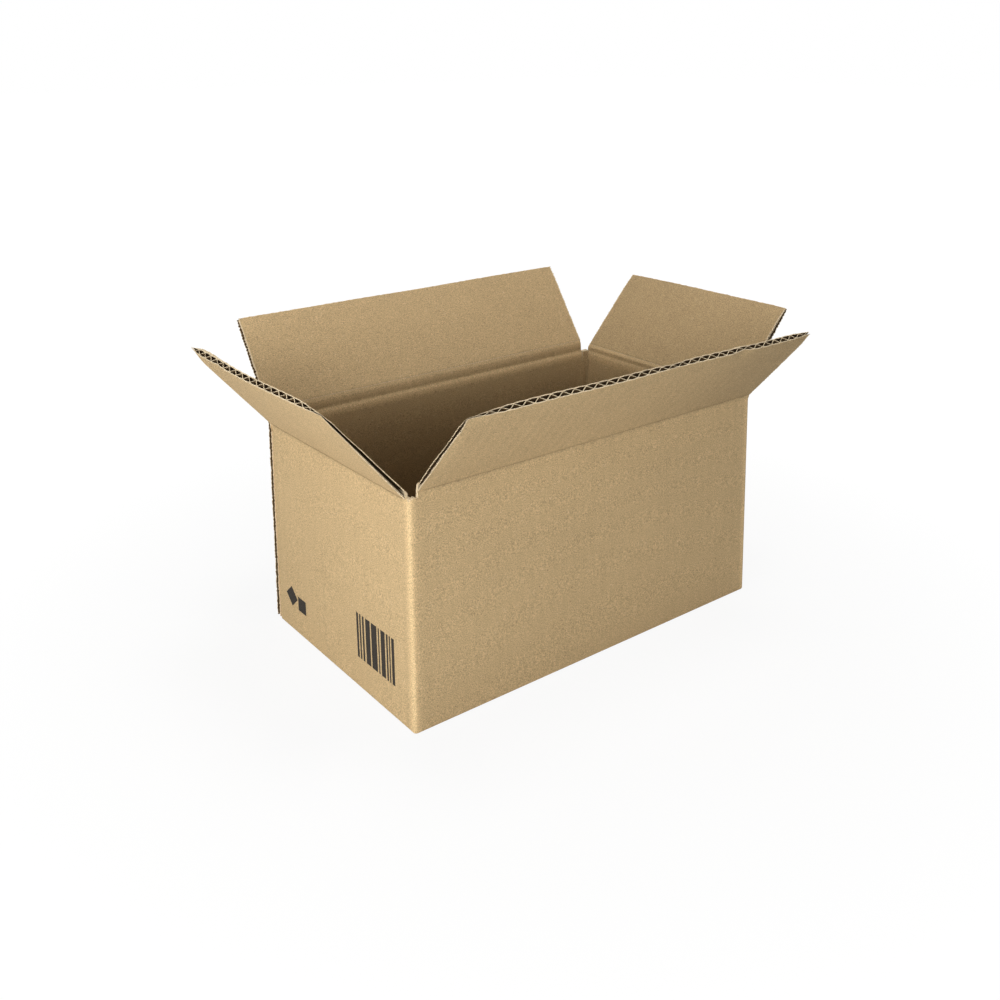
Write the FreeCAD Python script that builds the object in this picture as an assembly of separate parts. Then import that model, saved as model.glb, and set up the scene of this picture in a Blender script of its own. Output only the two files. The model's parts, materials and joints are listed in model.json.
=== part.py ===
import FreeCAD, Part
import math
import os

from FreeCAD import Vector

# An open carton folded from one sheet of single-wall corrugated board.
# X runs along the long walls, Y across them, Z up, and the origin is the middle of the underside.
# The front long wall is at -Y and the printed end wall at -X. The two ends of the sheet are
# glued together at the -X, +Y corner. Sizes are in millimetres, angles in degrees.

# Driving sizes of the carton
inside_length = 210.0
inside_width = 120.0
crease_height = 114.0
top_flap_length = 57.0
bottom_seam = 0.5
glue_tab_width = 32.0
glue_tab_taper = 7.0
fold_radius = 2.0

# Driving sizes of the board
board = 3.0
liner = 0.35
medium = 0.35
flute_pitch = 6.35
flute_land = 1.3
flute_crown = 0.25
crushed_band = 2.0

# Clearances
crease_gap = 0.15
slot_clearance = 0.5
layer_clearance = 0.3
tab_clearance = 0.6

# How far each top flap leans outwards from upright
front_lean_degrees = 41.5
back_lean_degrees = 39.5
left_lean_degrees = 40.5
right_lean_degrees = 41.0

# Sizes that follow
outside_length = inside_length + 2 * board
outside_width = inside_width + 2 * board
half_length = outside_length / 2
half_width = outside_width / 2
slot_half = board + slot_clearance
end_crease_height = crease_height - board - layer_clearance
bottom_flap_length = half_width - bottom_seam / 2
past = 1.0


def block(x_range, y_range, z_range):
    """A box given by its lowest and highest value along each axis."""
    size = [high - low for low, high in (x_range, y_range, z_range)]
    return Part.makeBox(*size, Vector(x_range[0], y_range[0], z_range[0]))


def prism(points, direction):
    """A closed outline of points pushed along a direction."""
    outline = Part.makePolygon(points + [points[0]])
    return Part.Face(outline).extrude(direction)


def edge_relief(corner, inward, along, length, radius):
    """What is cut away to round one square edge. inward holds the signs from the edge to the centre."""
    side, other = inward
    centre = corner + side * radius + other * radius
    outline = [corner - side * past - other * past,
               centre - other * (radius + past),
               centre,
               centre - side * (radius + past)]
    square = prism(outline, along * length)
    return square.cut(Part.makeCylinder(radius, length, centre, along))


def flute_outline(centre, opens_outwards):
    """The wire round one air channel, a triangle with a rounded crown, across the board."""
    half_base = (flute_pitch - flute_land) / 2
    half_crown = (flute_land - medium) / 2
    crown = board - liner - medium
    shoulder = crown - flute_crown

    def point(x, depth):
        y = depth if opens_outwards else board - depth
        return Vector(centre + x, y, 0)

    base_left = point(-half_base, liner)
    base_right = point(half_base, liner)
    shoulder_left = point(-half_crown, shoulder)
    shoulder_right = point(half_crown, shoulder)
    crown_arc = Part.Arc(shoulder_right, point(0, crown), shoulder_left)
    return Part.Wire([Part.makeLine(base_left, base_right),
                      Part.makeLine(base_right, shoulder_right),
                      crown_arc.toShape(),
                      Part.makeLine(shoulder_left, base_left)])


def flutes(width, start, end):
    """The air channels of a flap of this width. Those at the two side cuts are cut open."""
    half_base = (flute_pitch - flute_land) / 2
    steps = math.ceil(width / flute_pitch) + 1
    channels = []
    for step in range(-steps, steps + 1):
        centre = step * flute_pitch / 2
        if abs(centre) - half_base > width / 2 - medium:
            continue
        wire = flute_outline(centre, step % 2 == 0)
        wire.translate(Vector(0, 0, start))
        channels.append(Part.Face(wire).extrude(Vector(0, 0, end - start)))
    return channels


def flap(width):
    """A flap standing on its crease, outer face on the XZ plane, with a mitred crease at its foot."""
    section = [Vector(-width / 2, 0, crease_gap),
               Vector(-width / 2, 0, top_flap_length),
               Vector(-width / 2, board, top_flap_length),
               Vector(-width / 2, board, board + crease_gap)]
    plate = prism(section, Vector(width, 0, 0))
    flutes_start = board + crease_gap + crushed_band
    return plate.cut(flutes(width, flutes_start, top_flap_length + past))


def lean_at_wall(shape, wall_distance, height, lean, turn):
    """Leans a standing flap outwards on its crease and sets it on the wall that turn names."""
    shape.rotate(Vector(0, 0, 0), Vector(1, 0, 0), lean)
    shape.translate(Vector(0, -wall_distance, height))
    shape.rotate(Vector(0, 0, 0), Vector(0, 0, 1), turn)
    return shape


def wall(span, distance, height, turn):
    """One wall of the carton from the ground to its crease, where the board is mitred."""
    outer = -distance
    inner = outer + board
    section = [Vector(-span / 2, outer, 0),
               Vector(-span / 2, outer, height - crease_gap),
               Vector(-span / 2, inner, height - board - crease_gap),
               Vector(-span / 2, inner, 0)]
    plate = prism(section, Vector(span, 0, 0))
    plate.rotate(Vector(0, 0, 0), Vector(0, 0, 1), turn)
    return plate


def joint_wall():
    """The printed end wall, whose far edge folds into the glue tab."""
    plate = wall(inside_width, half_length, end_crease_height, -90)
    corner = Vector(-half_length, inside_width / 2, -past)
    inward = (Vector(1, 0, 0), Vector(0, -1, 0))
    return plate.cut(edge_relief(corner, inward, Vector(0, 0, 1), crease_height, fold_radius))


def walls():
    """The four walls, with the corner slots taken down to the creases of the end walls."""
    body = wall(outside_length, half_width, crease_height, 0)
    body = body.fuse(wall(outside_length, half_width, crease_height, 180))
    body = body.fuse(wall(inside_width, half_length, end_crease_height, 90))
    body = body.fuse(joint_wall())
    floor_of_slot = end_crease_height - crease_gap
    for side in (-1, 1):
        x_range = sorted((side * (half_length - slot_half), side * (half_length + past)))
        slot = block(x_range, (-half_width - past, half_width + past),
                     (floor_of_slot, crease_height + past))
        body = body.cut(slot)
    return body


def bottom_flaps():
    """The closed bottom: the end walls' flaps inside, the long walls' flaps glued on below them."""
    flap_end = half_length - slot_half
    flap_side = half_width - slot_half
    seam = half_width - bottom_flap_length
    pieces = []
    for side in (-1, 1):
        y_range = sorted((side * seam, side * half_width))
        pieces.append(block((-flap_end, flap_end), y_range, (0, board)))
        x_range = sorted((side * (half_length - bottom_flap_length), side * half_length))
        pieces.append(block(x_range, (-flap_side, flap_side), (board, 2 * board)))
    return pieces


def glue_tab():
    """The tab on the end wall, turned in and glued flat to the back wall."""
    back = inside_width / 2
    low = 2 * board + tab_clearance
    high = end_crease_height - board - tab_clearance
    root = -inside_length / 2
    tip = root + glue_tab_width
    outline = [Vector(root, back, low),
               Vector(tip, back, low + glue_tab_taper),
               Vector(tip, back, high - glue_tab_taper),
               Vector(root, back, high)]
    return prism(outline, Vector(0, -board, 0))


def cut_edge_channel():
    """The flute that the raw edge of the back wall cuts open at the glued corner."""
    depth = flute_pitch / 4
    return block((-half_length - past, -half_length + depth),
                 (inside_width / 2 + liner, half_width - liner),
                 (board, end_crease_height - board - crushed_band))


def edge_reliefs():
    """What rounds the three folded upright corners and the edges that the box stands on."""
    x_axis, y_axis, z_axis = Vector(1, 0, 0), Vector(0, 1, 0), Vector(0, 0, 1)
    height = crease_height + 2 * past
    length = outside_length + 2 * past
    width = outside_width + 2 * past
    reliefs = []
    for x_side, y_side in ((-1, -1), (1, -1), (1, 1)):
        corner = Vector(x_side * half_length, y_side * half_width, -past)
        inward = (x_axis * -x_side, y_axis * -y_side)
        reliefs.append(edge_relief(corner, inward, z_axis, height, fold_radius))
    for side in (-1, 1):
        long_corner = Vector(-half_length - past, side * half_width, 0)
        inward = (y_axis * -side, z_axis)
        reliefs.append(edge_relief(long_corner, inward, x_axis, length, fold_radius))
        end_corner = Vector(side * half_length, -half_width - past, 0)
        inward = (x_axis * -side, z_axis)
        reliefs.append(edge_relief(end_corner, inward, y_axis, width, fold_radius))
    return reliefs


def box_body():
    """The folded and glued sheet without its top flaps."""
    body = walls()
    for piece in bottom_flaps():
        body = body.fuse(piece)
    body = body.fuse(glue_tab())
    body = body.cut(edge_reliefs())
    return body.cut(cut_edge_channel()).removeSplitter()


def top_flaps():
    """Each top flap in its open place, by name."""
    long_flap = outside_length - 2 * slot_half
    end_flap = outside_width - 2 * slot_half
    return {
        "front_flap": lean_at_wall(flap(long_flap), half_width, crease_height, front_lean_degrees, 0),
        "back_flap": lean_at_wall(flap(long_flap), half_width, crease_height, back_lean_degrees, 180),
        "left_flap": lean_at_wall(flap(end_flap), half_length, end_crease_height, left_lean_degrees, -90),
        "right_flap": lean_at_wall(flap(end_flap), half_length, end_crease_height, right_lean_degrees, 90),
    }


def main():
    os.makedirs("parts", exist_ok=True)
    pieces = {"box_body": box_body()}
    pieces.update(top_flaps())
    for name, shape in pieces.items():
        shape.exportStep("parts/" + name + ".step")
        print(name, "solids", len(shape.Solids), "faces", len(shape.Faces),
              "volume", round(shape.Volume, 1), "valid", shape.isValid())


main()
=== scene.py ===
import json
import math

import bpy
import numpy as np
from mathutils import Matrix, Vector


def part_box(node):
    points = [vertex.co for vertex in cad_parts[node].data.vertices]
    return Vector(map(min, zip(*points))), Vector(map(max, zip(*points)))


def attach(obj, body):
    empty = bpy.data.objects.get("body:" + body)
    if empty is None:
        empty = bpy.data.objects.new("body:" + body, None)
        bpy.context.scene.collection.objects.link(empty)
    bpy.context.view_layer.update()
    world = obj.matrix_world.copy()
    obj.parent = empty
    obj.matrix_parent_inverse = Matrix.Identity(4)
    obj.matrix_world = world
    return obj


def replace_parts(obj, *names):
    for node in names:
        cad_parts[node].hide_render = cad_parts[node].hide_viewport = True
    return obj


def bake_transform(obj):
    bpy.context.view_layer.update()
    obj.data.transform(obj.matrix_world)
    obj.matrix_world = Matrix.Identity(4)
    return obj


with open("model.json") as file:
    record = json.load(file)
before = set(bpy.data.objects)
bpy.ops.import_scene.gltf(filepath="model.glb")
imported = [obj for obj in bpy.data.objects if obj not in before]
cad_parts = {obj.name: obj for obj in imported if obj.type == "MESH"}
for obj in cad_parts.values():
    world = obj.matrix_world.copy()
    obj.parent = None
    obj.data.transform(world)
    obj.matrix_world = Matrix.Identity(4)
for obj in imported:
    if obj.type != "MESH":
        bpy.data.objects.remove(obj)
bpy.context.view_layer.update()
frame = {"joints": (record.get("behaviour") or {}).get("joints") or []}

# The frame holds the plain carton. This script dresses it as corrugated board with cut edges,
# creases and print. Meshes are worked out in millimetres and written in metres.
mm = 0.001
joint_by_name = {joint["name"]: joint for joint in frame["joints"]}

# Board
board = 3.0
liner = 0.45
medium = 0.34
flute_pitch = 6.35
crest_sharpness = 0.97
liner_sag = 0.10
flute_rows, columns_per_flute = 14, 12

# Cut edges: the grid lines beside a cut, the depth and pitch of the knife's teeth, and how far the
# paper is frayed
cut_insets = np.array([0.0, 0.35, 0.9, 1.7])
board_step = 0.95
side_teeth, side_teeth_pitch = 0.44, 1.9
free_teeth, free_teeth_pitch = 0.12, 2.6
fray_width = 0.75

# Each top flap: its turn about the upright axis, and how its two ends differ from the plain flap.
# The first number of a pair is the end at the flap's own -X, the second at its +X. The slots were
# cut a little late along the sheet, which shifts the flaps' side cuts at the crease and at the
# free edge.
flaps = {
    "front": {"turn": 0, "lean_more": (0.0, 0.2), "reach_more": (-2.2, -3.6), "bow": 0.5,
              "crease_shift": (1.2, 3.5), "free_shift": (1.0, 2.6)},
    "back": {"turn": 180, "lean_more": (-0.4, -0.6), "reach_more": (-2.3, -3.5), "bow": -0.6,
             "crease_shift": (3.6, 3.5), "free_shift": (0.0, 1.0)},
    "left": {"turn": -90, "lean_more": (0.4, -0.4), "reach_more": (2.0, 0.2), "bow": -0.5,
             "crease_shift": (-1.3, 0.6), "free_shift": (-0.8, -0.8)},
    "right": {"turn": 90, "lean_more": (-1.2, -0.2), "reach_more": (-1.9, -2.2), "bow": 0.3,
              "crease_shift": (4.0, 1.8), "free_shift": (3.2, 1.2)},
}
flap_warp, flap_warp_rate = 0.22, 0.071

# Painted shade: a flap whose inner face is darker, and one whose outer face grows darker towards its own +X
# as its light falls off
flap_inner_shade = {"right": -0.15}
flap_outer_falloff = {"front": 0.22}
fade_start, fade_end = -10, 100

# Crease, in the section across a wall: depth from the outer face, and height from the hinge line.
# crease_drop lowers it on the long and the end walls, by the share that each knot takes.
crease_root = (2.66, -7.5)
crease_shoulder = (2.62, -5.8)
crease_roll = ((2.52, -3.6), (2.3, -2.2), (1.94, -1.2))
crease_valley = (1.62, -0.4)
crease_rise = ((1.5, 0.7), (1.4, 1.9), (1.1, 2.9))
crease_drop = {"long": 1.6, "end": -0.9}
drop_shares = np.array([1, 1, 1, 1, 1, 1, 0.9, 0.6, 0.2, 0, 0])
core_share = 0.12
flap_heel = (2.85, 3.0)
heel_reach = 12
crease_gap = 0.12
roll_height = 16.0

# Body
wall_grid_top = 102
wall_rows, crest_rows = 5, 4
slot_depth = 0.15
fold_radius = 1.7
inner_fold_radius = 0.6
bottom_radius = 1.2
wall_bulge = 0.7
foot_shift = {(-1, -1): (-2.0, -3.0), (1, -1): (2.7, -3.6), (-1, 1): (-0.3, 4.2), (1, 1): (0.0, 4.2)}
raw_edge_depth = 1.9
tab_length, tab_taper, tab_low, tab_high = 32, 7, 6.6, 3.6
end_seam = 0.25
# Painted shade on the carton's floor inside, which also dims the light it sends up the walls
painted_floor_shade = 0.4


def smooth(x, low, high):
    """0 below low, 1 above high and an even rise between them."""
    t = np.clip((np.asarray(x, float) - low) / (high - low), 0, 1)
    return t * t * (3 - 2 * t)


def between(pair, share):
    """The value at a share of the way from a pair's first number to its second."""
    return pair[0] + (pair[1] - pair[0]) * share


def side_shift(name, share, rise):
    """How far a flap's board is shifted along its crease, at a share of its width and of its reach."""
    at_crease = between(flaps[name]["crease_shift"], share)
    at_free_edge = between(flaps[name]["free_shift"], share)
    return at_crease + (at_free_edge - at_crease) * np.clip(rise, 0, 1)


def spaced(low, high, step):
    """Evenly spaced numbers from low to high, about a step apart."""
    return np.linspace(low, high, max(2, int(round(abs(high - low) / step)) + 1))


def merged(*groups):
    """One rising list of the numbers in several groups."""
    return np.unique(np.round(np.concatenate([np.atleast_1d(group) for group in groups]), 4))


def linked(title, data):
    """A new object, put in the scene."""
    made = bpy.data.objects.new(title, data)
    bpy.context.scene.collection.objects.link(made)
    return made


def stacked(*coordinates):
    """One grid of points from a grid for each of their coordinates."""
    return np.stack(coordinates, axis=-1)


# Closed sheets of mesh

FINISHES = ["kraft_outside", "kraft_inside", "cut_edge", "medium"]
OUTSIDE, INSIDE, CUT, FLUTE = range(4)


def sheet(near, far, finish, present=None, flat=None, torn=None, shade=None):
    """A closed sheet between two grids of points, whose near side is the one that u x v points to.

    finish holds the finish of the near side, the far side and the cut edges. present says which
    cells of the grid exist. flat holds each grid point's place on the flat board, torn how frayed
    the paper is there, and shade how much lighter or darker it is on the near and the far side."""
    # shade holds the painted light and shade of each point
    count_u, count_v = near.shape[:2]
    if present is None:
        present = np.ones((count_u - 1, count_v - 1), bool)
    if torn is None:
        torn = np.zeros((count_u, count_v))
    if shade is None:
        shade = np.zeros((2, count_u, count_v))
    index = np.arange(count_u * count_v).reshape(count_u, count_v)
    shift = count_u * count_v
    i, j = np.nonzero(present)
    corners = [index[i, j], index[i + 1, j], index[i + 1, j + 1], index[i, j + 1]]
    faces = [np.column_stack(corners), np.column_stack(corners[::-1]) + shift]
    finishes = [np.full(len(i), finish[0]), np.full(len(i), finish[1])]
    padded = np.pad(present, 1)
    neighbours = [padded[i + 1, j], padded[i + 2, j + 1], padded[i + 1, j + 2], padded[i, j + 1]]
    for side, neighbour in enumerate(neighbours):
        edge = ~neighbour
        first = corners[side][edge]
        second = corners[(side + 1) % 4][edge]
        faces.append(np.column_stack([second, first, first + shift, second + shift]))
        finishes.append(np.full(edge.sum(), finish[2]))
    points = np.concatenate([near.reshape(-1, 3), far.reshape(-1, 3)])
    flat = near[..., [0, 2]] if flat is None else flat
    return {"points": points,
            "faces": np.concatenate(faces),
            "finishes": np.concatenate(finishes),
            "flat": np.concatenate([flat.reshape(-1, 2)] * 2),
            "torn": np.concatenate([torn.reshape(-1)] * 2),
            "shade": np.concatenate([shade[0].reshape(-1), shade[1].reshape(-1)])}


def joined(sheets):
    """Several sheets as one."""
    whole = {key: np.concatenate([part[key] for part in sheets])
             for key in ("points", "finishes", "flat", "torn", "shade")}
    faces = []
    start = 0
    for part in sheets:
        faces.append(part["faces"] + start)
        start += len(part["points"])
    whole["faces"] = np.concatenate(faces)
    return whole


def flute_tree():
    """Geometry nodes that make the fluted paper: a wave pushed along the board, with thickness."""
    tree = bpy.data.node_groups.new("fluted_medium", "GeometryNodeTree")
    kinds = {"Columns": "NodeSocketInt", "Rows": "NodeSocketInt", "Finish": "NodeSocketMaterial"}
    for name in ("Width", "Length", "Pitch", "Height", "Paper", "Sharpness", "Phase",
                 "Columns", "Rows", "Finish"):
        tree.interface.new_socket(name, in_out="INPUT", socket_type=kinds.get(name, "NodeSocketFloat"))
    tree.interface.new_socket("Geometry", in_out="OUTPUT", socket_type="NodeSocketGeometry")
    add, put, maths = node_maker(tree)
    given = add("NodeGroupInput").outputs
    result = add("NodeGroupOutput")
    grid = put(add("GeometryNodeMeshGrid"), Size_X=given["Width"], Size_Y=given["Length"],
               Vertices_X=given["Columns"], Vertices_Y=given["Rows"])
    position = add("GeometryNodeInputPosition")
    parts = put(add("ShaderNodeSeparateXYZ"), Vector=position.outputs[0]).outputs
    turns = maths("DIVIDE", parts["X"], given["Pitch"])
    angle = maths("MULTIPLY", maths("ADD", turns, given["Phase"]), math.tau)
    sine = maths("MULTIPLY", maths("SINE", angle), given["Sharpness"])
    unit = maths("DIVIDE", maths("ARCSINE", sine), maths("ARCSINE", given["Sharpness"]))
    depth = maths("MULTIPLY", unit, given["Height"])
    up = maths("ADD", parts["Y"], maths("MULTIPLY", given["Length"], 0.5))
    place = put(add("ShaderNodeCombineXYZ"), X=parts["X"], Y=depth, Z=up)
    waved = put(add("GeometryNodeSetPosition"), Geometry=grid.outputs["Mesh"], Position=place.outputs[0])
    normal = add("GeometryNodeInputNormal")
    half_down = put(add("ShaderNodeVectorMath", operation="SCALE"), Vector=normal.outputs[0],
                    Scale=maths("MULTIPLY", given["Paper"], -0.5))
    lowered = put(add("GeometryNodeSetPosition"), Geometry=waved.outputs[0], Offset=half_down.outputs[0])
    thick = put(add("GeometryNodeExtrudeMesh"), Mesh=lowered.outputs[0], Individual=False,
                Offset_Scale=given["Paper"])
    turned = put(add("GeometryNodeFlipFaces"), Mesh=lowered.outputs[0])
    both = add("GeometryNodeJoinGeometry")
    tree.links.new(thick.outputs["Mesh"], both.inputs[0])
    tree.links.new(turned.outputs[0], both.inputs[0])
    welded = put(add("GeometryNodeMergeByDistance"), Geometry=both.outputs[0], Distance=0.001)
    real = put(add("GeometryNodeRealizeInstances"), Geometry=welded.outputs[0])
    painted = put(add("GeometryNodeSetMaterial"), Geometry=real.outputs[0], Material=given["Finish"])
    tree.links.new(painted.outputs[0], result.inputs[0])
    return tree


def fluted_sheet(tree, width, start, end, phase):
    """The fluted paper of one panel, as a sheet, in the panel's flat millimetres."""
    scratch = linked("fluting", bpy.data.meshes.new("fluting"))
    modifier = scratch.modifiers.new("flutes", "NODES")
    modifier.node_group = tree
    values = {"Width": width,
              "Length": end - start,
              "Pitch": flute_pitch,
              "Height": (board - 2 * liner - medium) / 2 + 0.04,
              "Paper": medium,
              "Sharpness": crest_sharpness,
              "Phase": phase,
              "Columns": int(width / flute_pitch * columns_per_flute) + 1,
              "Rows": flute_rows,
              "Finish": bpy.data.materials["medium"]}
    for item in tree.interface.items_tree:
        if item.in_out == "INPUT":
            modifier[item.identifier] = values[item.name]
    bpy.context.view_layer.update()
    evaluated = scratch.evaluated_get(bpy.context.evaluated_depsgraph_get())
    mesh = bpy.data.meshes.new_from_object(evaluated)
    scratch.modifiers.remove(modifier)
    bpy.data.objects.remove(scratch)
    points = np.empty(len(mesh.vertices) * 3)
    mesh.vertices.foreach_get("co", points)
    points = points.reshape(-1, 3)
    points[:, 1] += board / 2
    points[:, 2] += start
    faces = np.empty(len(mesh.loops), int)
    mesh.loops.foreach_get("vertex_index", faces)
    faces = faces.reshape(-1, 4)
    bpy.data.meshes.remove(mesh)
    ends = np.all(points[faces][:, :, 2] > end - 0.01, axis=1)
    ends |= np.all(np.abs(points[faces][:, :, 0]) > width / 2 - 0.2, axis=1)
    return {"points": points,
            "faces": faces,
            "finishes": np.where(ends, CUT, FLUTE),
            "flat": points[:, [0, 2]].copy(),
            "torn": np.zeros(len(points)),
            "shade": np.zeros(len(points))}


def zigzag(along, pitch, seed):
    """The uneven teeth that a serrated knife leaves, from -1 to 1, at each place along a cut."""
    local = np.random.default_rng(seed)
    knots = np.arange(along.min() - pitch, along.max() + 2 * pitch, pitch / 2)
    teeth = np.where(np.arange(len(knots)) % 2 == 0, 1.0, -1.0)
    teeth = teeth * local.uniform(0.25, 1.0, len(knots)) + local.uniform(-0.35, 0.35, len(knots))
    places = knots + local.uniform(-0.25, 0.25, len(knots)) * pitch
    return np.interp(along, np.sort(places), teeth)


def fray(near_edge):
    """How frayed the paper is, by its distance from a cut."""
    return np.exp(-(near_edge / fray_width) ** 2)


def painted_crease_line(away):
    """The painted shade of a crease's thin dark line on the outer face, by the distance from it."""
    return -0.16 * np.exp(-(away / 0.9) ** 2)


# A panel of corrugated board, flat: x along its crease, y through the board from its outer face,
# z away from the crease

def panel(tree, half, reach, start, seed, teeth=side_teeth, phase=0.0):
    """The two liners and the fluting of one panel."""
    local = np.random.default_rng(seed)
    u = merged(spaced(-half, half, flute_pitch / 4), -half + cut_insets, half - cut_insets)
    v = merged(spaced(start, reach, board_step), reach - cut_insets)
    grid_u, grid_v = np.meshgrid(u, v, indexing="ij")
    side_gap = half - np.abs(grid_u)
    end_gap = reach - grid_v
    sag = liner_sag * np.cos(grid_u / flute_pitch * math.tau + phase * math.tau + math.pi / 2)
    sag *= 0.25 + 0.75 * np.exp(-(end_gap / 2.2) ** 2)
    torn = np.maximum(fray(side_gap), 0.8 * fray(end_gap * 1.6))
    sheets = []
    for layer, (low, high) in enumerate(((0.0, liner), (board - liner, board))):
        cut_u = grid_u.copy()
        for side, column in ((-1, 0), (1, -1)):
            bite = zigzag(v, side_teeth_pitch, seed + 10 * layer + column + 5)
            cut_u[column, :] += side * teeth * bite
        cut_v = grid_v.copy()
        bite = free_teeth * zigzag(u, free_teeth_pitch, seed + 3 + layer)
        cut_v[:, -1] += bite + local.normal(0, 0.03, len(u))
        near = stacked(cut_u, low + sag, cut_v)
        far = stacked(cut_u, high + sag, cut_v)
        if layer == 0:
            finish = (OUTSIDE, FLUTE, CUT)
            # The outer liner carries the painted shade of the crease line
            pressed = painted_crease_line(grid_v - start)
        else:
            finish = (FLUTE, INSIDE, CUT)
            pressed = np.zeros_like(grid_v)
        sheets.append(sheet(near, far, finish, flat=stacked(grid_u, grid_v), torn=torn,
                            shade=np.stack([pressed, pressed])))
    sheets.append(fluted_sheet(tree, 2 * half - 0.7, start + 1.0, reach - 0.1, phase))
    return joined(sheets)


# Top flaps

# Where a flap's board is pressed thin: x, z, radius along x, radius along z, the share of its
# thickness that is kept, and the depth that doesn't move
CRUSHED_SPOTS = {
    "front": [(-105, 57, 14, 6, 0.2, 1.5), (9, 56, 8, 4, 0.7, 0.4), (55, 56, 5, 4, 0.62, 3.1),
              (104, 56, 8, 5, 0.5, 1.3), (-104, 4, 4, 14, 0.6, 0.8), (-105, 36, 4, 15, 0.5, 1.3)],
    "back": [(-104, 56, 4, 5, 0.7, 1.5), (104, 56, 4, 5, 0.75, 1.5)],
    "left": [(59, 57, 12, 6, 0.2, 1.0), (-59, 57, 6, 6, 0.15, 1.7), (59, 22, 4, 16, 0.75, 0.6),
             (59, 44, 4, 11, 0.5, 0.9), (-30, 57, 4, 3, 0.8, 2.4)],
    "right": [(-59, 56, 5, 5, 0.5, 1.5), (59, 56, 4, 4, 0.7, 1.5)],
}

# Where the inner liner is lifted off its fluting: x, z, radius along x, radius along z, and lift
LIFTED_SPOTS = {
    "front": [(53, 57, 4, 3, 0.6)],
    "back": [],
    "left": [(-42, 57, 20, 2.5, 0.75), (56, 56, 4, 4, 0.8)],
    "right": [],
}


def spot_share(points, spot):
    """How strongly a spot acts on each point of a flat flap, 1 in its middle."""
    x, z, wide, tall = spot
    return np.exp(-((points[:, 0] - x) / wide) ** 2 - ((points[:, 2] - z) / tall) ** 2)


def lifted(points, spots):
    """Lifts the inner liner off its fluting at spots."""
    inner_liner = smooth(points[:, 1], board - liner, board - 0.05)
    for *spot, lift in spots:
        points[:, 1] += lift * spot_share(points, spot) * inner_liner
    return points


def crushed(points, spots):
    """Presses the board thin at spots."""
    for *spot, keep, level in spots:
        pressed = level + (points[:, 1] - level) * keep
        points[:, 1] += (pressed - points[:, 1]) * spot_share(points, spot)
    return points


def flap_facts(name):
    """A flap's hinge, rest lean and sizes, in millimetres and degrees, read from the frame."""
    joint = joint_by_name[name + "_crease"]
    x, y, z = (value / mm for value in joint["pos_m"])
    low, high = (np.array(corner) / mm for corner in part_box(name + "_flap"))
    lean = -joint["range_deg"][0] - 90
    angle = math.radians(lean)
    along = 0 if name in ("front", "back") else 1
    reach = (high[2] - z - board * math.sin(angle)) / math.cos(angle)
    return {"distance": math.hypot(x, y),
            "height": z,
            "lean": lean,
            "half": (high[along] - low[along]) / 2,
            "reach": reach,
            "turn": flaps[name]["turn"]}


def stood(points, facts, lean):
    """Leans flat panel points outwards by an angle of their own and sets them on their wall."""
    angle = np.radians(lean)
    x, y, z = points.T
    leant_y = y * np.cos(angle) - z * np.sin(angle) - facts["distance"]
    leant_z = y * np.sin(angle) + z * np.cos(angle) + facts["height"]
    turn = math.radians(facts["turn"])
    return np.column_stack([x * math.cos(turn) - leant_y * math.sin(turn),
                            x * math.sin(turn) + leant_y * math.cos(turn),
                            leant_z])


def flap_shape(name, points):
    """Gives a flat flap its real unevenness, then stands it on its wall."""
    facts = flap_facts(name)
    half, reach = facts["half"], facts["reach"]
    points = crushed(lifted(points.copy(), LIFTED_SPOTS[name]), CRUSHED_SPOTS[name])
    x, y, z = points.T
    share = (x / half + 1) / 2
    foot = smooth(-z, -6.5, -2.4)
    y -= foot * (board - flap_heel[0]) * smooth(y, 0.5, board)
    x += side_shift(name, share, z / reach)
    z *= 1 + between(flaps[name]["reach_more"], share) / reach * smooth(z, 8, reach)
    bow = flaps[name]["bow"]
    y += bow * np.sin(np.clip(share, 0, 1) * math.pi) * (z / reach) ** 1.5
    y += flap_warp * np.sin(x * flap_warp_rate + 1.3 * len(name)) * smooth(z, 5, reach)
    lean = facts["lean"] + between(flaps[name]["lean_more"], share) * smooth(z, 1, 20)
    return stood(np.column_stack([x, y, z]), facts, lean)


# Crease of a top flap: the pressed board between the wall and the flap

def wall_kind(name):
    """Whether a flap hangs on a long wall or on an end wall."""
    return "long" if name in ("front", "back") else "end"


def crease_profile(name):
    """The inner face of a crease, from the wall's shoulder to the flap's heel."""
    angle = math.radians(flap_facts(name)["lean"])
    depth, height = flap_heel
    heel = (depth * math.cos(angle) - height * math.sin(angle),
            depth * math.sin(angle) + height * math.cos(angle))
    beyond = (heel[0] - math.sin(angle) * 1.5, heel[1] + math.cos(angle) * 1.5)
    knots = np.array([crease_root, crease_shoulder, *crease_roll, crease_valley, *crease_rise,
                      heel, beyond])
    knots[:, 1] -= crease_drop[wall_kind(name)] * drop_shares
    curve = []
    for k in range(1, len(knots) - 2):
        p0, p1, p2, p3 = knots[k - 1:k + 3]
        t = np.linspace(0, 1, 4, endpoint=False)[:, None]
        curve.append(0.5 * (2 * p1 + (p2 - p0) * t + (2 * p0 - 5 * p1 + 4 * p2 - p3) * t ** 2
                            + (3 * p1 - p0 - 3 * p2 + p3) * t ** 3))
    curve.append(knots[-2][None])
    return np.concatenate(curve)


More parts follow.
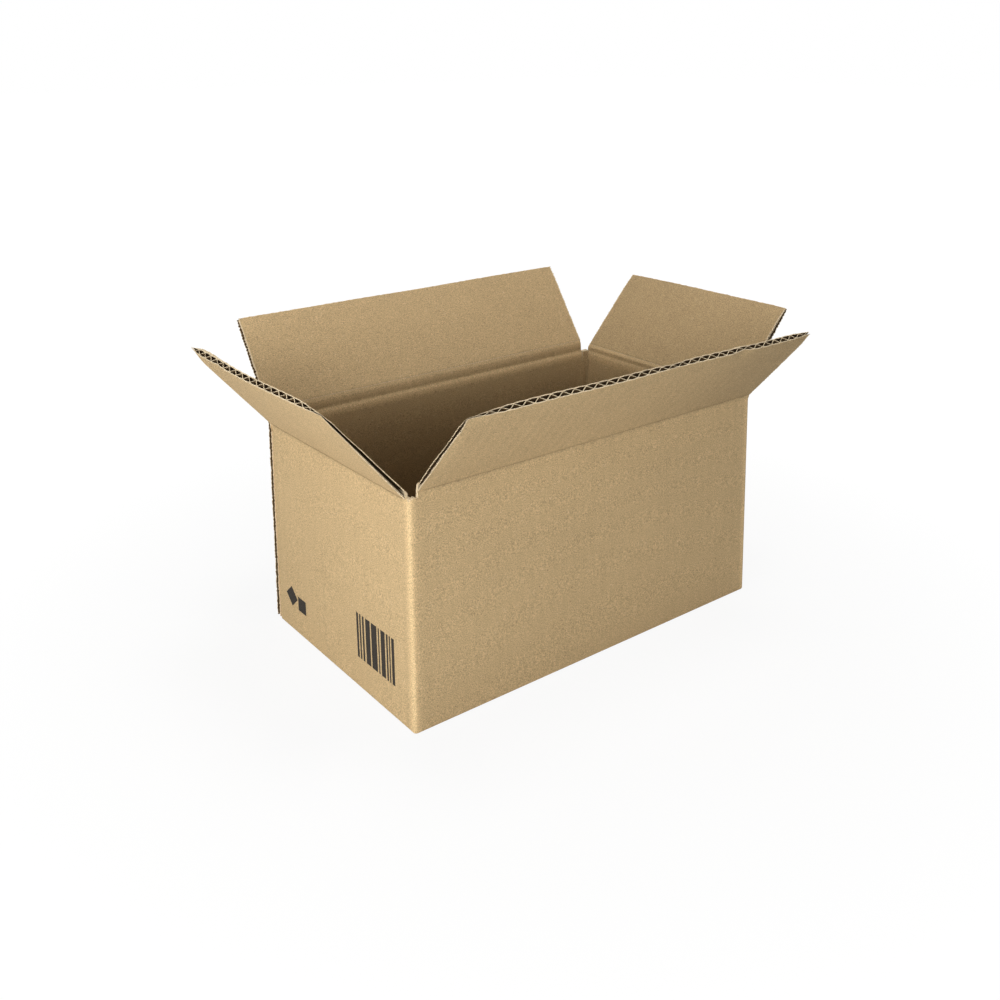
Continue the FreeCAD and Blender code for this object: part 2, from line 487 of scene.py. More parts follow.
def crease_filler(name):
    """The pressed board of one top crease, closed on all sides."""
    facts = flap_facts(name)
    profile = crease_profile(name)
    half = facts["half"] - 0.05
    x = spaced(-half, half, 2.0)
    ripple = 0.10 * np.sin(x * 0.9) + 0.08 * np.sin(x * 2.3 + 1) + 0.05 * np.sin(x * 5.1)
    ripple_share = np.sin(np.linspace(0, math.pi, len(profile)))[:, None]
    place = x + side_shift(name, (x / half + 1) / 2, 0)
    inner = np.empty((len(profile), len(x), 3))
    inner[..., 0] = place[None, :]
    inner[..., 1] = profile[:, 0][:, None] + ripple[None, :] * ripple_share
    inner[..., 2] = profile[:, 1][:, None]
    core = inner.copy()
    core[..., 1] = profile[:, 0][:, None] * core_share
    core[..., 2] = profile[:, 1][:, None] * core_share
    across = np.cumsum(np.full(len(profile), 0.4)) - 3
    flat = np.stack(np.meshgrid(across, x, indexing="ij")[::-1], -1)
    height = profile[:, 1] + crease_drop[wall_kind(name)]
    # Painted shade just above the valley and towards the filler's lower end, where it meets the wall's
    # painted shade; on long walls, painted light on the roll below the valley
    tone = -0.14 * np.exp(-((height - 0.6) / 1.2) ** 2) - 0.12 * smooth(-height, 4.0, 5.8)
    if wall_kind(name) == "long":
        tone += 0.1 * np.exp(-((height + 2.2) / 1.4) ** 2)
    pressed = np.repeat(tone[:, None], len(x), 1)
    part = sheet(core, inner, (INSIDE, INSIDE, CUT), flat=flat, shade=np.stack([pressed, pressed]))
    part["faces"] = part["faces"][:, ::-1]
    part["points"] = stood(part["points"], facts, np.zeros(len(part["points"])))
    return part


# Body

def body_sizes():
    """The carton's half length, half width and the heights of its creases and slots."""
    front, left = flap_facts("front"), flap_facts("left")
    return {"length": left["distance"],
            "width": front["distance"],
            "long_crease": front["height"],
            "end_crease": left["height"],
            "slot_floor": left["height"] - slot_depth,
            "long_half": front["half"],
            "end_half": left["half"]}


def settled(points):
    """The small unevenness of a standing carton: the foot a little wider, the walls a little bulged."""
    sizes = body_sizes()
    x, y, z = points.T
    low = np.clip(1 - z / sizes["end_crease"], 0, 1)
    reach_x, reach_y = x / sizes["length"], y / sizes["width"]
    foot = np.zeros((2, len(points)))
    for (side_x, side_y), shift in foot_shift.items():
        share = (1 + side_x * reach_x) * (1 + side_y * reach_y) / 4
        foot += np.outer(shift, share * low)
    belly = np.sin(np.clip(z / sizes["end_crease"], 0, 1) * math.pi)
    span_x = np.cos(np.clip(reach_x, -1, 1) * math.pi / 2)
    span_y = np.cos(np.clip(reach_y, -1, 1) * math.pi / 2)
    return np.column_stack([x + foot[0] + wall_bulge * belly * span_y * reach_x,
                            y + foot[1] + wall_bulge * belly * span_x * reach_y,
                            z])


def wall_columns():
    """The walls' upright columns in the order of the sheet, from the glued corner to the raw edge.

    Each column has its outer point, its inner point and its kind: end and long reach the crease of
    such a wall, and slot ends at the floor of a corner slot. With them go their places along the
    sheet."""
    sizes = body_sizes()
    length, width = sizes["length"], sizes["width"]
    inner_length, inner_width = length - board, width - board
    side_step = 0.6
    columns = []

    def arc(centre, radius, start, steps=7):
        turns = np.radians(start + np.linspace(0, 90, steps))
        return [(centre[0] + radius * math.cos(turn), centre[1] + radius * math.sin(turn))
                for turn in turns]

    def corner(x_side, y_side, start, outer_width=width):
        outer_centre = (x_side * (length - fold_radius), y_side * (outer_width - fold_radius))
        inner_centre = (x_side * (inner_length - inner_fold_radius),
                        y_side * (outer_width - board - inner_fold_radius))
        return list(zip(arc(outer_centre, fold_radius, start), arc(inner_centre, inner_fold_radius, start)))

    def straight(first, last, half, along, name):
        sign = 1 if last[0][along] > first[0][along] else -1
        room = min(abs(first[0][along]), abs(last[0][along])) - 0.1
        slots = np.add((-half, half), flaps[name]["crease_shift"])
        from_slot, to_slot = np.clip(slots, side_step - room, room - side_step)
        made = []
        for place in merged(spaced(from_slot, to_slot, 3.0), from_slot - side_step, to_slot + side_step):
            outer, inner = list(first[0]), list(first[1])
            outer[along] = inner[along] = sign * place
            on_crease = from_slot - 0.01 < place < to_slot + 0.01
            kind = ("end" if along else "long") if on_crease else "slot"
            made.append((tuple(outer), tuple(inner), kind))
        return made

    glued = corner(-1, 1, 90, inner_width)
    near = corner(-1, -1, 180)
    right = corner(1, -1, 270)
    far = corner(1, 1, 0)
    raw = ((-length + raw_edge_depth, width), (-length + raw_edge_depth, inner_width))
    runs = [("left", glued, near[0], sizes["end_half"], 1),
            ("front", near, right[0], sizes["long_half"], 0),
            ("right", right, far[0], sizes["end_half"], 1),
            ("back", far, raw, sizes["long_half"], 0)]
    for name, bend, last, half, along in runs:
        columns += [(outer, inner, "slot") for outer, inner in bend]
        columns += straight(bend[-1], last, half, along, name)
    columns.append((raw[0], raw[1], "slot"))
    fold = columns.index((*right[0], "slot"))
    without_slot = [*range(fold - 1, fold + 4), len(columns) - 2, len(columns) - 1]
    for column in without_slot:
        columns[column] = (*columns[column][:2], "long")
    outline = np.array([column[0] for column in columns])
    steps = np.hypot(*np.diff(outline, axis=0).T)
    along_sheet = np.concatenate([[0], np.cumsum(steps)])
    return columns, along_sheet


def distance_from_folds(columns):
    """How far along the board each column is from the nearest upright fold, zero inside a fold."""
    sizes = body_sizes()
    place = np.array([column[0] for column in columns])
    from_end = sizes["length"] - fold_radius - np.abs(place[:, 0])
    from_side = sizes["width"] - fold_radius - np.abs(place[:, 1])
    on_end = np.abs(place[:, 0]) > sizes["length"] - 0.01
    return np.where(on_end, from_side, from_end).clip(0)


def column_heights(kind, levels, curls, sizes):
    """The heights of one column's rows on its outer and its inner face.

    Above the even levels come the rows up to the slots' floor, and then those of the crest."""
    crease = wall_top(kind, sizes)
    shoulder = crease + shoulder_height(kind)
    steps = np.linspace(0, 1, wall_rows + 1)[1:]
    rise = np.linspace(0, 1, crest_rows + 1)[1:]
    tops = {"long": (sizes["slot_floor"], shoulder - 1.5),
            "end": (crease - crease_gap, shoulder),
            "slot": (crease + curls[0], crease + curls[1])}[kind]
    heights = []
    for top, crest in zip(tops, (crease - crease_gap, shoulder)):
        last = between((top, crest), rise) if kind == "long" else top + rise
        heights.append(np.concatenate([levels, between((levels[-1], top), steps), last]))
    return heights


def wall_top(kind, sizes):
    """The height of the crease that a column ends at, or of the slots' floor."""
    return {"long": sizes["long_crease"], "end": sizes["end_crease"], "slot": sizes["slot_floor"]}[kind]


def shoulder_height(kind):
    """Where the pressed crease starts on the inner face, from the hinge line."""
    return crease_shoulder[1] - crease_drop.get(kind, 0)


def thinned(kind, height, crease):
    """How much the inner face draws back below a crease or a slot."""
    if kind == "slot":
        return 0.3 * smooth(height, crease - 4, crease)
    up_roll = (height - crease + roll_height) / (roll_height + shoulder_height(kind))
    return (board - crease_shoulder[0]) * np.clip(up_roll, 0, 1) ** 2


def fold_ridge(gap):
    """The groove and the ridge that an upright fold presses into the inner face, by the gap to it."""
    return 0.55 * np.exp(-((gap - 4.0) / 1.3) ** 2) - 0.7 * np.exp(-((gap - 1.3) / 0.8) ** 2)


def wall_painted_light(outer, inner, fold_gap, kinds, sizes):
    """Painted highlight and wear on the outer folds, painted shade on the crease line, deep inside and in
    the folds.
    """
    rows = outer.shape[1]
    # Painted highlight, partly wear, along the outer folds, and the painted shade of the crease line
    outer_highlight_and_shade = np.repeat((0.22 * np.exp(-(fold_gap / 1.5) ** 2))[:, None], rows, 1)
    top = np.where(kinds == "long", sizes["long_crease"], sizes["end_crease"])[:, None]
    outer_highlight_and_shade += painted_crease_line(top - crease_gap - outer[..., 2]) * (kinds != "slot")[:, None]
    # Painted shade in the inner fold grooves, and painted shade growing deeper down the inside of the walls
    inner_painted_shade = np.repeat((-0.5 * np.exp(-((fold_gap - 1.2) / 0.9) ** 2))[:, None], rows, 1)
    inner_painted_shade -= 0.12 + 0.46 * (1 - smooth(inner[..., 2], 20, 118))
    return np.stack([outer_highlight_and_shade, inner_painted_shade])


def without_loose_points(part):
    """A sheet without the points that no face uses."""
    used = np.unique(part["faces"])
    renumber = np.full(len(part["points"]), -1)
    renumber[used] = np.arange(len(used))
    for key in ("points", "flat", "torn", "shade"):
        part[key] = part[key][used]
    part["faces"] = renumber[part["faces"]]
    return part


def wall_sheet():
    """The four walls as one closed sheet, with the crease bevels and the corner slots at its top."""
    sizes = body_sizes()
    columns, along_sheet = wall_columns()
    levels = merged(bottom_radius * (1 - np.cos(np.radians([0, 22, 45, 68, 90]))),
                    spaced(bottom_radius, wall_grid_top, 4.0))
    rows = len(levels) + wall_rows + crest_rows
    rounding = np.maximum(bottom_radius - levels, 0)
    retreat = bottom_radius - np.sqrt(np.maximum(bottom_radius ** 2 - rounding ** 2, 0))
    retreat = np.concatenate([retreat, np.zeros(wall_rows + crest_rows)])
    outer = np.empty((len(columns), rows, 3))
    inner = np.empty((len(columns), rows, 3))
    fold_gap = distance_from_folds(columns)
    curls = np.stack([0.5 + 0.6 * zigzag(along_sheet, 2.4, seed) for seed in (61, 62)])
    for c, (outer_xy, inner_xy, kind) in enumerate(columns):
        outer_xy, inner_xy = np.array(outer_xy), np.array(inner_xy)
        crease = wall_top(kind, sizes)
        outer_z, inner_z = column_heights(kind, levels, curls[:, c], sizes)
        inward = (inner_xy - outer_xy) / max(np.linalg.norm(inner_xy - outer_xy), 1e-6)
        outer[c, :, :2] = outer_xy + inward * retreat[:, None]
        outer[c, :, 2] = outer_z
        inner[c, :, :2] = inner_xy - inward * thinned(kind, inner_z, crease)[:, None]
        inner[c, :, 2] = inner_z
        below_crease = 1 - smooth(inner_z, crease - 16, crease - 5)
        inner[c, :, :2] += inward * (fold_ridge(fold_gap[c]) * below_crease)[:, None]
    outer[:, 0, 2] = inner[:, 0, 2] = 0.06
    present = np.ones((len(columns) - 1, rows - 1), bool)
    kinds = np.array([column[2] for column in columns])
    both_long = (kinds[:-1] == "long") & (kinds[1:] == "long")
    present[~both_long, rows - 1 - crest_rows:] = False
    flat = stacked(np.repeat(along_sheet[:, None], rows, 1), outer[..., 2])
    gap_to_slot = np.abs(outer[..., 2] - sizes["slot_floor"]) + 20 * (kinds != "slot")[:, None]
    return without_loose_points(sheet(outer, inner, (OUTSIDE, INSIDE, CUT), present, flat,
                                      0.8 * fray(gap_to_slot * 1.2),
                                      wall_painted_light(outer, inner, fold_gap, kinds, sizes)))


def raw_edge():
    """The back wall's cut edge at the glued corner: two torn liners with the cut-open flute between."""
    sizes = body_sizes()
    sheets = []
    tops = (sizes["long_crease"] - crease_gap, sizes["long_crease"] + shoulder_height("long"))
    for layer, (depth, top) in enumerate(zip((0.0, board - liner), tops)):
        z = spaced(1.2, top, board_step)
        x = -sizes["length"] + np.array([0.0, 0.4, 1.0, raw_edge_depth + 0.4])
        grid_x, grid_z = np.meshgrid(x, z, indexing="ij")
        grid_x[0] -= 0.3 * zigzag(z, 2.0, 71 + layer)
        grid_y = np.full_like(grid_x, sizes["width"] - depth)
        near = stacked(grid_x, grid_y - liner, grid_z)
        far = stacked(grid_x, grid_y, grid_z)
        near_finish, far_finish = (FLUTE, OUTSIDE) if layer == 0 else (INSIDE, FLUTE)
        torn = fray(grid_x + sizes["length"])
        flat = stacked(grid_x + 700, grid_z)
        sheets.append(sheet(near, far, (near_finish, far_finish, CUT), flat=flat, torn=torn))
    return joined(sheets)


def glue_tab():
    """The tab inside the back wall."""
    sizes = body_sizes()
    back = sizes["width"] - board - 0.04
    root = -sizes["length"] + board
    x = merged(spaced(root - 0.6, root + tab_length, 3.0))
    share = (x - x[0]) / (x[-1] - x[0])
    low, high = tab_low + tab_taper * share, sizes["end_crease"] - tab_high - tab_taper * share
    v = np.linspace(0, 1, 24)
    grid_x = np.repeat(x[:, None], len(v), 1)
    grid_z = low[:, None] + (high - low)[:, None] * v[None]
    outer = stacked(grid_x, np.full_like(grid_x, back), grid_z)
    pressed = 0.5 * smooth(grid_x, x[-1] - 6, x[-1])
    inner = stacked(grid_x, back - board + pressed, grid_z)
    return sheet(inner, outer, (INSIDE, FLUTE, CUT))


def bottom_plate(side):
    """One long wall's bottom flap, flat on the ground."""
    sizes = body_sizes()
    half = sizes["length"] - board - 0.5
    x = spaced(-half, half, 4.0)
    y = side * spaced(0.03, sizes["width"] - bottom_radius - 0.05, 4.0)
    grid_x, grid_y = np.meshgrid(x, y, indexing="ij")
    under = stacked(grid_x, grid_y, np.zeros_like(grid_x))
    top = stacked(grid_x, grid_y, np.full_like(grid_x, board - 0.05))
    flat = stacked(grid_x, grid_y)
    # The inner face carries the floor's painted shade
    shade = np.stack([np.zeros_like(grid_x), np.full_like(grid_x, -painted_floor_shade)])
    part = sheet(under, top, (OUTSIDE, INSIDE, CUT), flat=flat, shade=shade)
    if side > 0:
        part["faces"] = part["faces"][:, ::-1]
    return part


def end_bottom_flap(tree, side):
    """One end wall's bottom flap, inside, on top of the long ones."""
    sizes = body_sizes()
    reach = sizes["width"] - end_seam
    part = panel(tree, sizes["end_half"], reach, 2.6, 40 + side, teeth=0.3)
    x, y, z = part["points"].T
    part["points"] = np.column_stack([side * (sizes["length"] - z), x * side, board + y + 0.02])
    # The floor's painted shade
    part["shade"] -= painted_floor_shade
    return part


# Turning sheets into pieces

def piece(title, part, body):
    """A mesh object from a sheet, in metres, riding on a body."""
    mesh = bpy.data.meshes.new(title)
    mesh.from_pydata((part["points"] * mm).tolist(), [], part["faces"].tolist())
    for finish in FINISHES:
        mesh.materials.append(bpy.data.materials[finish])
    mesh.polygons.foreach_set("material_index", part["finishes"].astype(np.int32))
    corner_points = np.empty(len(mesh.loops), np.int32)
    mesh.loops.foreach_get("vertex_index", corner_points)
    layer = mesh.uv_layers.new(name="board")
    layer.data.foreach_set("uv", (part["flat"][corner_points] * mm).astype(np.float32).ravel())
    for name in ("torn", "shade"):
        layer = mesh.attributes.new(name, "FLOAT", "POINT")
        layer.data.foreach_set("value", part[name].astype(np.float32))
    mesh.shade_smooth()
    mesh.set_sharp_from_angle(angle=math.radians(42))
    mesh.validate()
    mesh.update()
    made = linked(title, mesh)
    if body:
        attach(made, body)
    return made


# Materials

def fill(socket, value):
    """Links an input to an output, or gives it a plain value."""
    if hasattr(value, "is_output"):
        socket.id_data.links.new(value, socket)
    else:
        socket.default_value = value


def node_maker(tree):
    """Short ways to add nodes to one tree, to fill their inputs and to add a math step."""
    def add(kind, **settings):
        node = tree.nodes.new(kind)
        for key, value in settings.items():
            setattr(node, key, value)
        return node

    def put(node, **inputs):
        for key, value in inputs.items():
            fill(node.inputs[key.replace("_", " ")], value)
        return node

    def maths(operation, first, second=0.0, clamp=False):
        node = add("ShaderNodeMath", operation=operation, use_clamp=clamp)
        fill(node.inputs[0], first)
        fill(node.inputs[1], second)
        return node.outputs[0]
    return add, put, maths


def blended(tree, factor, first, second):
    """The colour of two mixed by a factor."""
    node = tree.nodes.new("ShaderNodeMix")
    node.data_type = "RGBA"
    fill(node.inputs[0], factor)
    fill(node.inputs[6], first)
    fill(node.inputs[7], second)
    return node.outputs[2]


def emptied(owner):
    """The node tree of a material or a world, without its usual nodes."""
    owner.use_nodes = True
    owner.node_tree.nodes.clear()
    return owner.node_tree


def shader_group(name, inputs, outputs):
    """An empty shader node group, with what it is given and what it results in."""
    tree = bpy.data.node_groups.new(name, "ShaderNodeTree")
    for label, kind, value in inputs:
        socket = tree.interface.new_socket(label, in_out="INPUT", socket_type=kind)
        socket.default_value = value
    for label, kind in outputs:
        tree.interface.new_socket(label, in_out="OUTPUT", socket_type=kind)
    return tree, tree.nodes.new("NodeGroupInput").outputs, tree.nodes.new("NodeGroupOutput").inputs


def paper_fibres():
    """Unbleached paper: cloudy colour with pale and dark fibre flecks, and a fine uneven surface."""
    tree, given, result = shader_group(
        "paper_fibres",
        [("Paper", "NodeSocketColor", (0.5, 0.37, 0.22, 1)),
         ("Pale", "NodeSocketColor", (0.7, 0.56, 0.38, 1)),
         ("Dark", "NodeSocketColor", (0.2, 0.13, 0.07, 1)), ("Cloud", "NodeSocketFloat", 0.5),
         ("Flecks", "NodeSocketFloat", 1.0)],
        [("Color", "NodeSocketColor"), ("Height", "NodeSocketFloat")])
    add, put, maths = node_maker(tree)
    where = add("ShaderNodeTexCoord").outputs["Object"]

    def noise(scale, detail, roughness=0.5):
        node = put(add("ShaderNodeTexNoise"), Vector=where, Scale=scale, Detail=detail, Roughness=roughness)
        return node.outputs["Fac"]

    def ramp(value, low, high):
        node = put(add("ShaderNodeMapRange"), Value=value, From_Min=low, From_Max=high)
        node.interpolation_type = "SMOOTHSTEP"
        return node.outputs["Result"]

    def cells(vector, scale):
        return put(add("ShaderNodeTexVoronoi", feature="F1"), Vector=vector, Scale=scale, Randomness=1.0)

    def centred(value, strength):
        return maths("MULTIPLY", maths("SUBTRACT", value, 0.5), strength)

    grain = noise(1900, 3, 0.7)
    blotch = noise(120, 3, 0.6)
    cloud = noise(18, 2)
    stretched = put(add("ShaderNodeMapping"), Vector=where, Scale=(700, 700, 1600)).outputs[0]
    fleck_cells = cells(stretched, 0.55)
    pale_mask = ramp(fleck_cells.outputs["Distance"], 0.30, 0.12)
    pale_pick = ramp(noise(260, 1), 0.52, 0.62)
    pale = maths("MULTIPLY", pale_mask, pale_pick)
    pale = maths("MULTIPLY", pale, given["Flecks"])
    dark_cells = cells(where, 230.0)
    dark_mask = ramp(dark_cells.outputs["Distance"], 0.11, 0.04)
    dark_pick = ramp(dark_cells.outputs["Color"], 0.62, 0.72)
    dark = maths("MULTIPLY", maths("MULTIPLY", dark_mask, dark_pick), given["Flecks"])
    tone = maths("ADD", centred(grain, 2.2), centred(blotch, 0.12))
    cloudy = centred(cloud, given["Cloud"])
    tone = maths("ADD", tone, maths("MULTIPLY", cloudy, 0.22))
    tone = maths("ADD", tone, 1.0)
    scaled = put(add("ShaderNodeVectorMath", operation="SCALE"), Vector=given["Paper"], Scale=tone)
    colour = blended(tree, maths("MULTIPLY", pale, 0.55), scaled.outputs[0], given["Pale"])
    colour = blended(tree, maths("MULTIPLY", dark, 0.6), colour, given["Dark"])
    tree.links.new(colour, result["Color"])
    height = maths("ADD", maths("MULTIPLY", grain, 0.6), maths("MULTIPLY", blotch, 0.4))
    tree.links.new(height, result["Height"])
    return tree


def washboard():
    """The faint ridges that the flutes print through a liner, along the board's own map."""
    tree, given, result = shader_group(
        "washboard", [("Pitch", "NodeSocketFloat", flute_pitch * mm), ("Strength", "NodeSocketFloat", 1.0)],
        [("Height", "NodeSocketFloat"), ("Tint", "NodeSocketFloat")])
    add, put, maths = node_maker(tree)
    uv = add("ShaderNodeUVMap", uv_map="board")
    parts = put(add("ShaderNodeSeparateXYZ"), Vector=uv.outputs[0])
    turns = maths("DIVIDE", parts.outputs["X"], given["Pitch"])
    wave = maths("SINE", maths("MULTIPLY", turns, math.tau))
    scaled = maths("MULTIPLY", wave, given["Strength"])
    tree.links.new(scaled, result["Height"])
    tree.links.new(maths("MULTIPLY", scaled, 0.012), result["Tint"])
    return tree


def torn_fibres():
    """Where a cut has torn the liner and its pale fibres show."""
    tree, given, result = shader_group(
        "torn_fibres", [("Amount", "NodeSocketFloat", 1.0)], [("Mask", "NodeSocketFloat")])
    add, put, maths = node_maker(tree)
    torn = add("ShaderNodeAttribute", attribute_name="torn").outputs["Fac"]
    where = add("ShaderNodeTexCoord").outputs["Object"]
    noise = put(add("ShaderNodeTexNoise"), Vector=where, Scale=700.0, Detail=3.0).outputs["Fac"]
    edge = maths("ADD", torn, maths("MULTIPLY", maths("SUBTRACT", noise, 0.5), 1.1))
    mask = put(add("ShaderNodeMapRange"), Value=edge, From_Min=0.45, From_Max=0.8)
    tree.links.new(maths("MULTIPLY", mask.outputs["Result"], given["Amount"], True),
                   result["Mask"])
    return tree


def paper_material(name, paper, pale, dark, torn_colour=None, cloud=0.5, flecks=1.0, ridges=0.0,
                   roughness=0.88, bump=0.06):
    """A matt paper finish from the shared groups."""
    material = bpy.data.materials.new(name)
    tree = emptied(material)
    add, put, maths = node_maker(tree)

    def shared(name, **inputs):
        return put(add("ShaderNodeGroup", node_tree=bpy.data.node_groups[name]), **inputs)

    output = add("ShaderNodeOutputMaterial")
    surface = put(add("ShaderNodeBsdfPrincipled"), Roughness=roughness)
    surface.inputs["Specular IOR Level"].default_value = 0.25
    fibres = shared("paper_fibres", Paper=paper, Pale=pale, Dark=dark, Cloud=cloud, Flecks=flecks)
    colour = fibres.outputs["Color"]
    height = maths("MULTIPLY", fibres.outputs["Height"], 0.10)
    if ridges:
        board_wave = shared("washboard", Strength=ridges)
        tint = maths("ADD", board_wave.outputs["Tint"], 1.0)
        colour = put(add("ShaderNodeVectorMath", operation="SCALE"), Vector=colour, Scale=tint).outputs[0]
        height = maths("ADD", height, maths("MULTIPLY", board_wave.outputs["Height"], 0.16))
    # The painted light and shade of each point scales the paper's colour
    shade = add("ShaderNodeAttribute", attribute_name="shade").outputs["Fac"]
    shade = maths("ADD", shade, 1.0)
    colour = put(add("ShaderNodeVectorMath", operation="SCALE"), Vector=colour, Scale=shade).outputs[0]
    if torn_colour:
        colour = blended(tree, shared("torn_fibres").outputs["Mask"], colour, torn_colour)
    tree.links.new(colour, surface.inputs["Base Color"])
    relief = put(add("ShaderNodeBump"), Strength=bump, Distance=0.001, Height=height)
    tree.links.new(relief.outputs["Normal"], surface.inputs["Normal"])
    tree.links.new(surface.outputs[0], output.inputs["Surface"])
    return material


def srgb(*levels):
    """A linear colour from the 0 to 255 red, green and blue of a screen colour, none of them near 0."""
    return (*(((level / 255 + 0.055) / 1.055) ** 2.4 for level in levels), 1.0)


def make_materials():
    paper_fibres()
    washboard()
    torn_fibres()
    cream = srgb(226, 205, 170)
    paper_material("kraft_outside", srgb(199, 173, 131), srgb(230, 206, 166), srgb(120, 96, 68),
                   torn_colour=cream, ridges=1.0)
    paper_material("kraft_inside", srgb(198, 171, 129), srgb(228, 204, 164), srgb(110, 86, 60),
                   torn_colour=cream, ridges=0.6)
    paper_material("cut_edge", srgb(222, 203, 170), srgb(246, 232, 206), srgb(156, 130, 96),
                   cloud=0.8, flecks=0.8, bump=0.4)
    # The fluting and the liner faces towards it are coloured far darker than the liners, as painted shade
    # for the dark hollows between the flutes
    paper_material("medium", srgb(88, 69, 46), srgb(112, 90, 64), srgb(56, 42, 28), flecks=0.5)
    paper_material("ink", srgb(58, 53, 48), srgb(84, 78, 70), srgb(40, 36, 32), flecks=0.5)


# Print on the end wall

def wall_print():
    """Bars, a square and a diamond on the -X wall, as thin ink lying on the paper."""
    sizes = body_sizes()
    bar_middle, bar_height = 28.75, 23.5
    bars_start, bars_width = -17.7, 30.8
    rhythm = [1.6, 0.9, 1.2, 1.1, 1.4, 1.3, 3.6, 1.0, 4.4, 1.1, 0.9, 1.2, 3.2, 1.1, 1.2, 0.9, 0.9, 1.0, 2.0]
    scale = bars_width / sum(rhythm)
    diamond, square = (45.6, 20.2, 4.1, 4.1, 45), (35.2, 18.8, 3.9, 3.9, 0)
    shapes = []
    y = bars_start
    for step, width in enumerate(rhythm):
        if step % 2 == 0:
            shapes.append((y - width * scale / 2, bar_middle, width * scale / 2, bar_height / 2, 0))
        y -= width * scale
    sheets = []
    for middle_y, middle_z, half_y, half_z, turn in (*shapes, diamond, square):
        across, above = np.meshgrid([half_y, -half_y], spaced(-half_z, half_z, 3.0), indexing="ij")
        cos, sin = math.cos(math.radians(turn)), math.sin(math.radians(turn))
        grid_y = middle_y + across * cos - above * sin
        grid_z = middle_z + across * sin + above * cos
        x = np.full_like(grid_y, -sizes["length"])
        near = stacked(x - 0.03, grid_y, grid_z)
        far = stacked(x + 0.05, grid_y, grid_z)
        sheets.append(sheet(near, far, (0, 0, 0), flat=stacked(grid_y, grid_z)))
    part = joined(sheets)
    part["points"] = settled(part["points"])
    made = piece("end_wall_print", part, "body")
    made.data.materials.clear()
    made.data.materials.append(bpy.data.materials["ink"])
    made.data.polygons.foreach_set("material_index", np.zeros(len(made.data.polygons), np.int32))


# The object

def box_body(tree):
    """Everything that stays still: the walls, the glue tab and the closed bottom, as one piece."""
    body = joined([wall_sheet(), raw_edge(), glue_tab(), bottom_plate(-1), bottom_plate(1),
                   end_bottom_flap(tree, -1), end_bottom_flap(tree, 1)])
    body["points"] = settled(body["points"])
    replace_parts(piece("carton_walls", body, "body"), "box_body")


def top_flap(tree, number, name):
    """One top flap and the crease between it and its wall."""
    facts = flap_facts(name)
    part = panel(tree, facts["half"], facts["reach"], crease_gap, 100 * number + 7, phase=0.25 * number)
    points = part["points"]
    heel_slope = flap_heel[1] / flap_heel[0]
    points[:, 2] += np.clip(points[:, 1], 0, board) * heel_slope * (1 - smooth(points[:, 2], 0, heel_reach))
    # Painted shade on one flap's inner face, and a painted falloff of light across another flap's outer
    # face
    part["shade"] += flap_inner_shade.get(name, 0) * (points[:, 1] > board - 0.1)
    fade = smooth(points[:, 0], fade_start, fade_end) * (points[:, 1] < 0.2)
    part["shade"] -= flap_outer_falloff.get(name, 0) * fade
    part["points"] = flap_shape(name, points)
    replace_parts(piece(name + "_flap_board", part, name), name + "_flap")
    crease = piece(name + "_crease", crease_filler(name), None)
    ends = [stood(np.array([[0.0, depth, height]]), facts, np.zeros(1))[0] * mm
            for depth, height in crease_profile(name)[[0, -1]]]
    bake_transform(crease)


def build():
    make_materials()
    tree = flute_tree()
    box_body(tree)
    for number, name in enumerate(flaps):
        top_flap(tree, number, name)
    wall_print()


# Stage

def mixed_surface(tree, factor, first, second, output):
    """Shows one shader where the factor is 0 and another where it is 1."""
    mix = tree.nodes.new("ShaderNodeMixShader")
    fill(mix.inputs[0], factor)
    fill(mix.inputs[1], first.outputs[0])
    fill(mix.inputs[2], second.outputs[0])
    fill(output.inputs["Surface"], mix.outputs[0])


def make_floor():
    """A floor that the camera sees as white, with a soft shadow near the box."""
    bpy.ops.mesh.primitive_plane_add(size=12, location=(0, 0, 0))
    floor = bpy.context.object
    floor.name = "floor"
    material = bpy.data.materials.new("floor_white")
    tree = emptied(material)
    add, put, maths = node_maker(tree)
    output = add("ShaderNodeOutputMaterial")
    diffuse = put(add("ShaderNodeBsdfDiffuse"), Color=(0.67, 0.67, 0.67, 1))
    glow = put(add("ShaderNodeEmission"), Color=(1, 1, 1, 1), Strength=1.02)
    path = add("ShaderNodeLightPath")
    seen = maths("MAXIMUM", path.outputs["Is Camera Ray"], path.outputs["Is Glossy Ray"])
    seen = maths("MAXIMUM", seen, path.outputs["Is Transmission Ray"])
    where = add("ShaderNodeTexCoord").outputs["Object"]
    away = put(add("ShaderNodeVectorMath", operation="LENGTH"), Vector=where).outputs["Value"]
    white = put(add("ShaderNodeMapRange"), Value=away, From_Min=0.15, From_Max=0.35, To_Min=0.9, To_Max=1.0)
    mixed_surface(tree, maths("MULTIPLY", seen, white.outputs["Result"]), diffuse, glow, output)
    floor.data.materials.append(material)


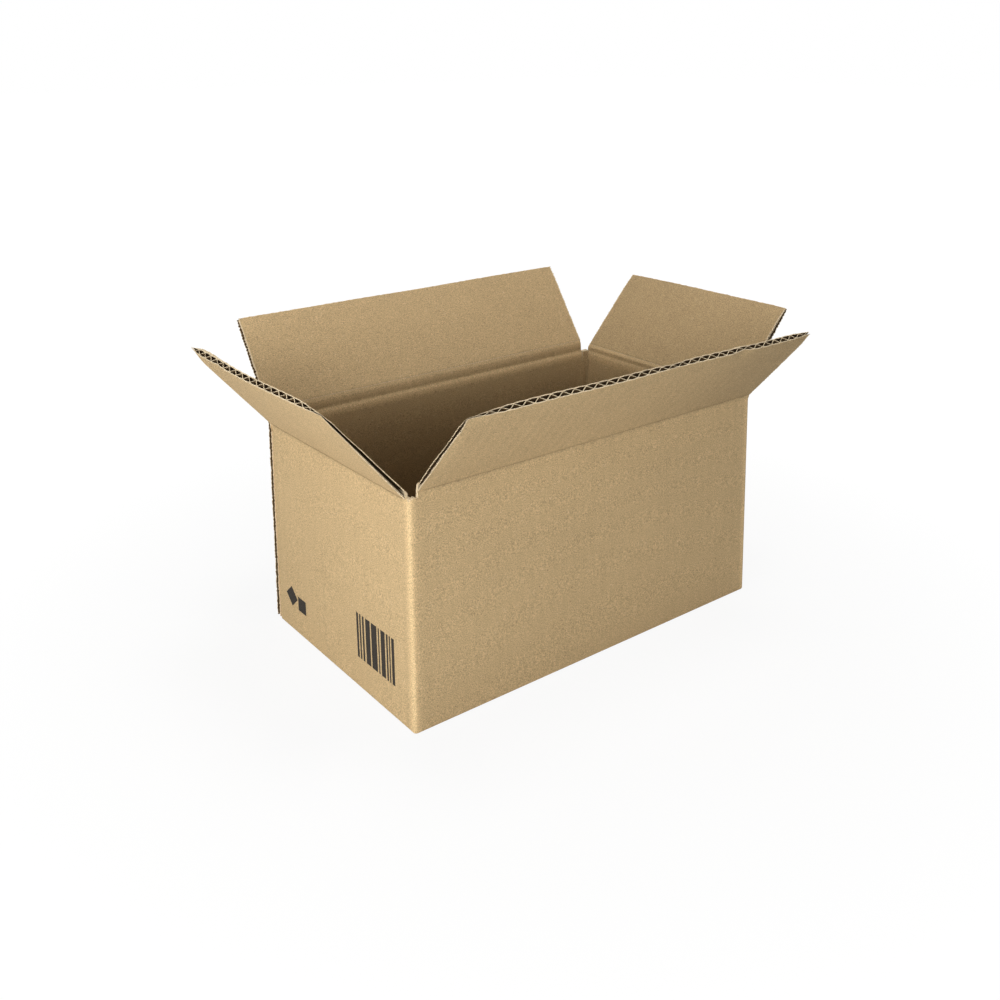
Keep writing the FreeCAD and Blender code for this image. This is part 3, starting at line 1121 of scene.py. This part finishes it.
def make_world():
    """A white backdrop, and dim daylight from all round."""
    world = bpy.data.worlds.new("studio")
    bpy.context.scene.world = world
    tree = emptied(world)
    add, put, _ = node_maker(tree)
    output = add("ShaderNodeOutputWorld")
    path = add("ShaderNodeLightPath")
    direction = add("ShaderNodeTexCoord").outputs["Generated"]
    height = put(add("ShaderNodeSeparateXYZ"), Vector=direction).outputs["Z"]
    strength = put(add("ShaderNodeMapRange"), Value=height, To_Min=0.14, To_Max=0.05).outputs["Result"]
    soft = put(add("ShaderNodeBackground"), Color=(1.0, 0.995, 0.98, 1), Strength=strength)
    white = put(add("ShaderNodeBackground"), Color=(1, 1, 1, 1), Strength=1.0)
    mixed_surface(tree, path.outputs["Is Camera Ray"], soft, white, output)


def make_lamps():
    """Soft lamps on the left, in front and above, all turned to the box."""
    lamps = (("left_lamp", (-0.80, -0.25, 0.25), (0.5, 0.4), 3.7),
             ("front_lamp", (-0.60, -0.84, 0.35), (0.7, 0.4), 4.35),
             ("top_lamp", (0.15, -0.05, 1.4), (0.4, 0.4), 7.9))
    aim = np.array([0, 0, 0.08])
    for name, place, size, power in lamps:
        data = bpy.data.lights.new(name, "AREA")
        data.shape = "RECTANGLE"
        data.size, data.size_y = size
        data.energy = power
        data.color = (1.0, 0.99, 0.97)
        lamp = linked(name, data)
        lamp.location = place
        direction = aim - np.array(place)
        yaw = math.atan2(direction[1], direction[0])
        pitch = math.atan2(direction[2], math.hypot(direction[0], direction[1]))
        lamp.rotation_euler = (math.pi / 2 + pitch, 0, yaw - math.pi / 2)


def make_camera():
    """The camera at the photograph's place. Its frame is taken as 1000 by 1000 pixels."""
    azimuth, elevation = math.radians(-38.21), math.radians(18.32)
    aim = np.array([0.0046, 0.0190, 0.1108])
    distance = 0.5793
    focal_pixels, frame_pixels = 1093.4, 1000
    centre_row = 400
    back = np.array([math.sin(azimuth) * math.cos(elevation),
                     -math.cos(azimuth) * math.cos(elevation),
                     math.sin(elevation)])
    data = bpy.data.cameras.new("camera")
    data.sensor_width = 36
    data.lens = focal_pixels / frame_pixels * data.sensor_width
    data.shift_y = (centre_row - frame_pixels / 2) / frame_pixels
    data.clip_start = 0.01
    camera = linked("camera", data)
    camera.location = aim + back * distance
    camera.rotation_euler = (math.pi / 2 - elevation, 0, azimuth)
    bpy.context.scene.camera = camera


build()
make_floor()
make_world()
make_lamps()
make_camera()
bpy.context.scene.view_settings.view_transform = "Standard"
